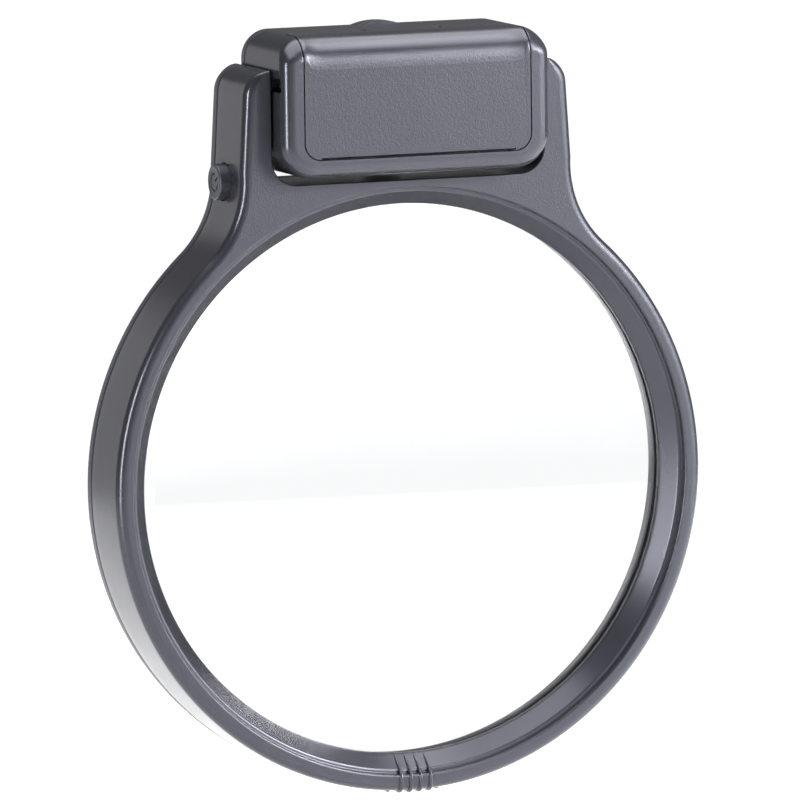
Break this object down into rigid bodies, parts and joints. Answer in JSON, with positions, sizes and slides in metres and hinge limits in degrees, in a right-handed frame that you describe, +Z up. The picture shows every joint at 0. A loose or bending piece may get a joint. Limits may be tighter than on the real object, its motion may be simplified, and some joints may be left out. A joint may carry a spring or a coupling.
{
  "type": "magnetic aquarium magnifier",
  "caption": "Large round magnifying lens in a lit black frame that swings from a magnetic battery box, for hands-free viewing through tank glass.",
  "frame": {"origin": "middle of the pad on the back of the magnet box, where it meets the tank glass", "axes": "+Y out of the pad into the glass, +Z up, +X to the right for a viewer who faces the lens from the -Y side"},
  "size_m": [0.1436, 0.0288, 0.1769],
  "materials": {
    "shell": "black moulded plastic, finely grained on its front faces and satin on its sides",
    "inner": "plain dark moulded plastic",
    "lens": "polished and clear",
    "gasket": "matt soft ring",
    "pad": "matt pad with a fine cloth pattern",
    "button": "satin cap with a moulded symbol",
    "diffuser": "frosted, letting light through",
    "lamp": "glossy cap over a white body",
    "board": "green coated circuit board",
    "steel": "plain stamped steel",
    "screw": "zinc plated",
    "contact": "nickel plated",
    "magnet": "nickel plated",
    "cell": "printed sleeve, plain",
    "lead_red": "soft insulation",
    "lead_black": "soft insulation"
  },
  "bodies": {
    "magnet_box": {"box_housing": "shell", "box_back_cover": "shell", "glass_pad": "pad", "disc_magnet": "magnet", "yoke_plate": "steel", "battery_tray": "inner", "cell_upper": "cell", "cell_lower": "cell", "contact_bridge": "contact", "contact_tab_upper": "contact", "contact_tab_lower": "contact", "contact_spring_upper": "contact", "contact_spring_lower": "contact", "hinge_bush_left": "inner", "hinge_bush_right": "inner", "supply_lead_red": "lead_red", "supply_lead_black": "lead_black", "box_screw_1": "screw", "box_screw_2": "screw", "box_screw_3": "screw", "box_screw_4": "screw"},
    "lens_frame": {"front_frame": "shell", "rear_cover": "shell", "lens": "lens", "lens_gasket": "gasket", "lens_retainer": "inner", "lamp_board_left": "board", "lamp_board_right": "board", "lamp_window_left": "diffuser", "lamp_window_right": "diffuser", "switch_board": "board", "tact_switch": "steel", "friction_washer_left": "steel", "friction_washer_right": "steel", "hinge_clip_left": "steel", "hinge_clip_right": "steel", "lamp_lead_red": "lead_red", "lamp_lead_black": "lead_black", "lamp_jumper": "lead_black", "cover_screw_1": "screw", "cover_screw_2": "screw", "cover_screw_3": "screw", "cover_screw_4": "screw", "lamp_left_1": "lamp", "lamp_left_2": "lamp", "lamp_left_3": "lamp", "lamp_right_1": "lamp", "lamp_right_2": "lamp", "lamp_right_3": "lamp"},
    "power_button": {"power_button": "button"},
    "battery_door": {"battery_door": "shell"}
  },
  "joints": [
    {"name": "lens_swing", "type": "hinge", "parent": "magnet_box", "child": "lens_frame", "pos_m": [0, -0.018, 0.00525], "axis": [-1, 0, 0], "range_deg": [0, 130]},
    {"name": "button_press", "type": "slide", "parent": "lens_frame", "child": "power_button", "axis": [1, 0, 0], "range_m": [0, 0.0008], "stiffness_N_per_m": 900, "springref_m": -0.0003},
    {"name": "door_open", "type": "hinge", "parent": "magnet_box", "child": "battery_door", "pos_m": [0, -0.0288, -0.0117], "axis": [1, 0, 0], "range_deg": [0, 80]}
  ]
}
